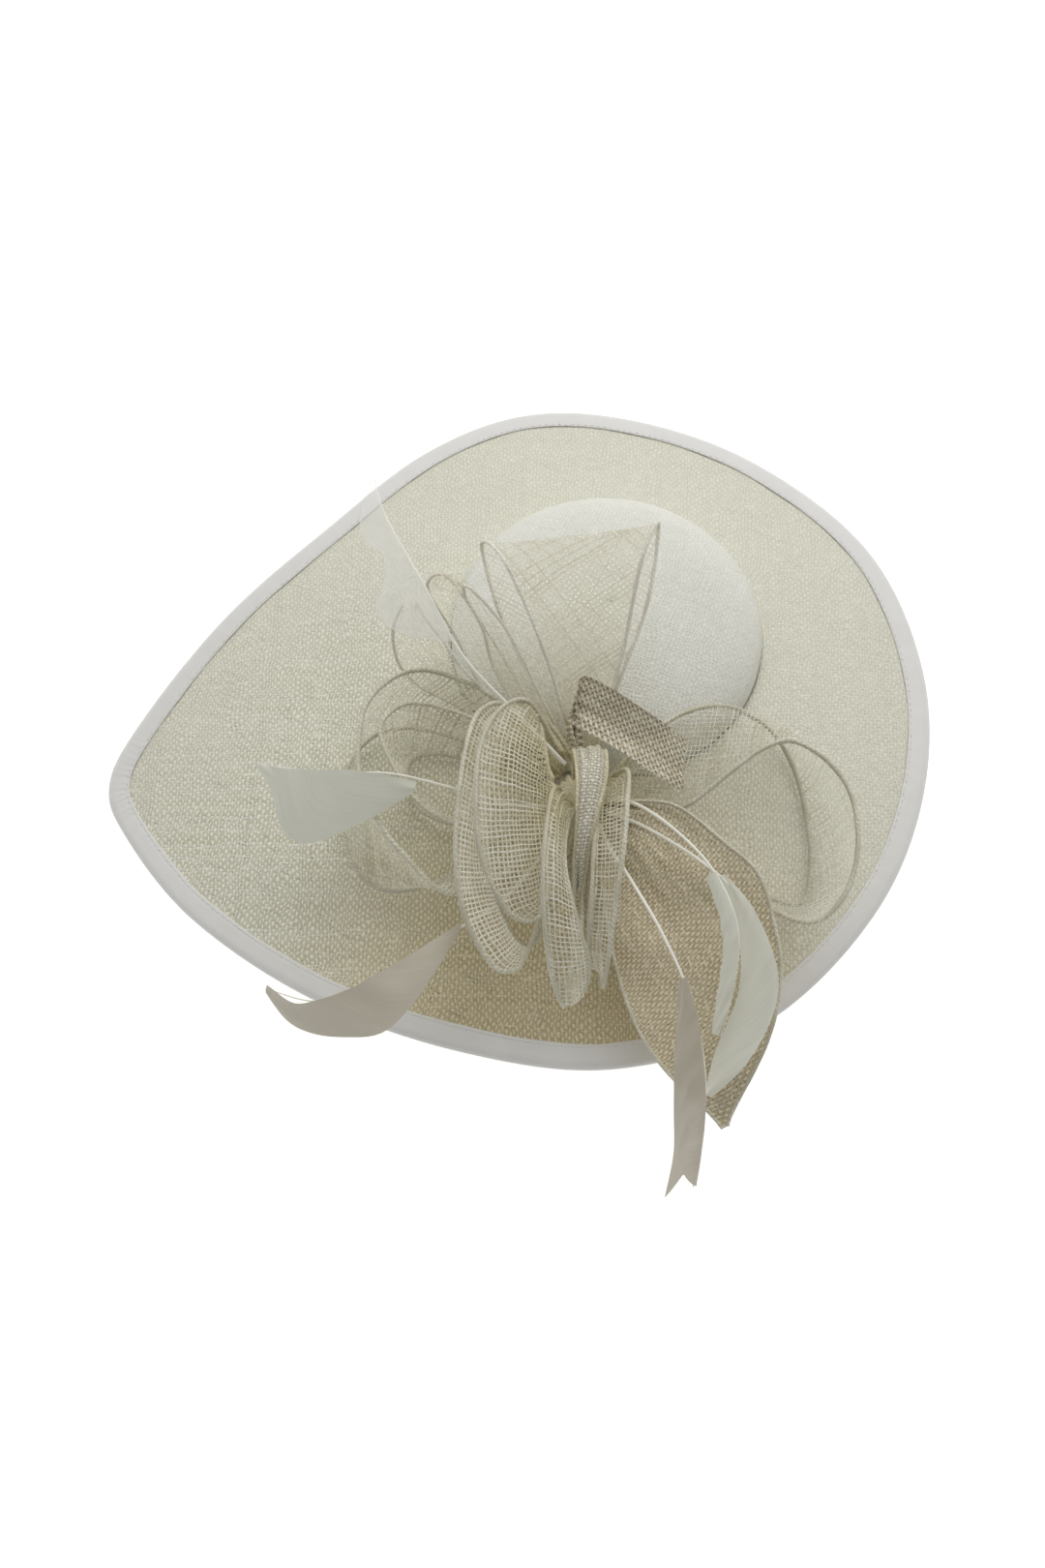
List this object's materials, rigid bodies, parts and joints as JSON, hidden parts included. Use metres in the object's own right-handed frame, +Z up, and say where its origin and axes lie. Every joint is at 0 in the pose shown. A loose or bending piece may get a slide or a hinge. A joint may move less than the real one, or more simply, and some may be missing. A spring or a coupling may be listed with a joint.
{
  "type": "occasion hat",
  "caption": "Teardrop saucer-brimmed occasion hat with a shallow crown, looped net trim, stripped feathers, a headband and a sprung hair clip.",
  "frame": {"origin": "middle of the headband's inner face, where it rests on top of the wearer's head, under the centre of the crown", "axes": "+Z up, out of the top of the head; -Y towards the trimmed edge of the brim; -X towards the point of the brim, along the headband's arch"},
  "size_m": [0.3539, 0.3662, 0.2109],
  "materials": {
    "sinamay": "woven banana-fibre net in two crossed, stiffened plies, dry with a faint sparkle",
    "sinamay_under": "the same net seen from below",
    "loop_sinamay": "single open ply of the net, see-through, with hand-rolled edges",
    "binding_satin": "soft satin",
    "thread": "polyester sewing thread",
    "wire": "satin",
    "ribbon": "ribbed petersham",
    "felt": "pressed felt",
    "pad_cloth": "brushed cotton",
    "band_steel": "spring steel strip",
    "band_satin": "satin ribbon wound on the slant",
    "tip_cloth": "folded satin",
    "clip_metal": "nickel plated",
    "pin_metal": "nickel plated",
    "spring_steel": "oiled spring wire",
    "knot_cloth": "gathered net bound with thread",
    "quill": "stripped, bleached goose quill, smooth",
    "feather": "thin feather vane, slightly see-through"
  },
  "bodies": {
    "hat": {"brim_top_layer": "sinamay", "brim_under_layer": "sinamay_under", "edge_wire": "wire", "edge_binding": "binding_satin", "binding_stitches": "thread", "crown_outer": "sinamay", "crown_lining": "sinamay_under", "headsize_ribbon": "ribbon", "base_disc": "felt", "comfort_pad": "pad_cloth", "band_core": "band_steel", "band_wrap": "band_satin", "band_tip_left": "tip_cloth", "band_tip_right": "tip_cloth", "band_tacks": "thread", "clip_base": "clip_metal", "clip_pin": "pin_metal", "clip_spring": "spring_steel", "trim_base": "felt", "centre_knot": "knot_cloth", "knot_thread": "thread", "fan_loop": "loop_sinamay", "crest_petal": "loop_sinamay", "side_petal": "loop_sinamay", "left_loop": "loop_sinamay", "inner_loop": "loop_sinamay", "rose_outer": "loop_sinamay", "rose_cup": "loop_sinamay", "front_loop": "loop_sinamay", "side_loop": "loop_sinamay", "rose_heart": "loop_sinamay", "heart_tab": "loop_sinamay", "right_loop": "loop_sinamay", "leaf": "loop_sinamay", "feather1_quill": "quill", "feather1_vane": "feather", "feather2_quill": "quill", "feather2_vane": "feather", "feather3_quill": "quill", "feather3_vane": "feather", "feather4_quill": "quill", "feather4_vane": "feather", "feather5_quill": "quill", "feather5_vane": "feather", "feather6_quill": "quill", "feather6_vane": "feather"},
    "jaw": {"clip_jaw": "clip_metal"}
  },
  "joints": [
    {"name": "clip_opening", "type": "hinge", "parent": "hat", "child": "jaw", "pos_m": [0.012, 0.028, 0.0046], "axis": [0, -1, 0], "range_deg": [0, 22], "stiffness_Nm_per_rad": 0.08, "springref_deg": -20.05}
  ]
}
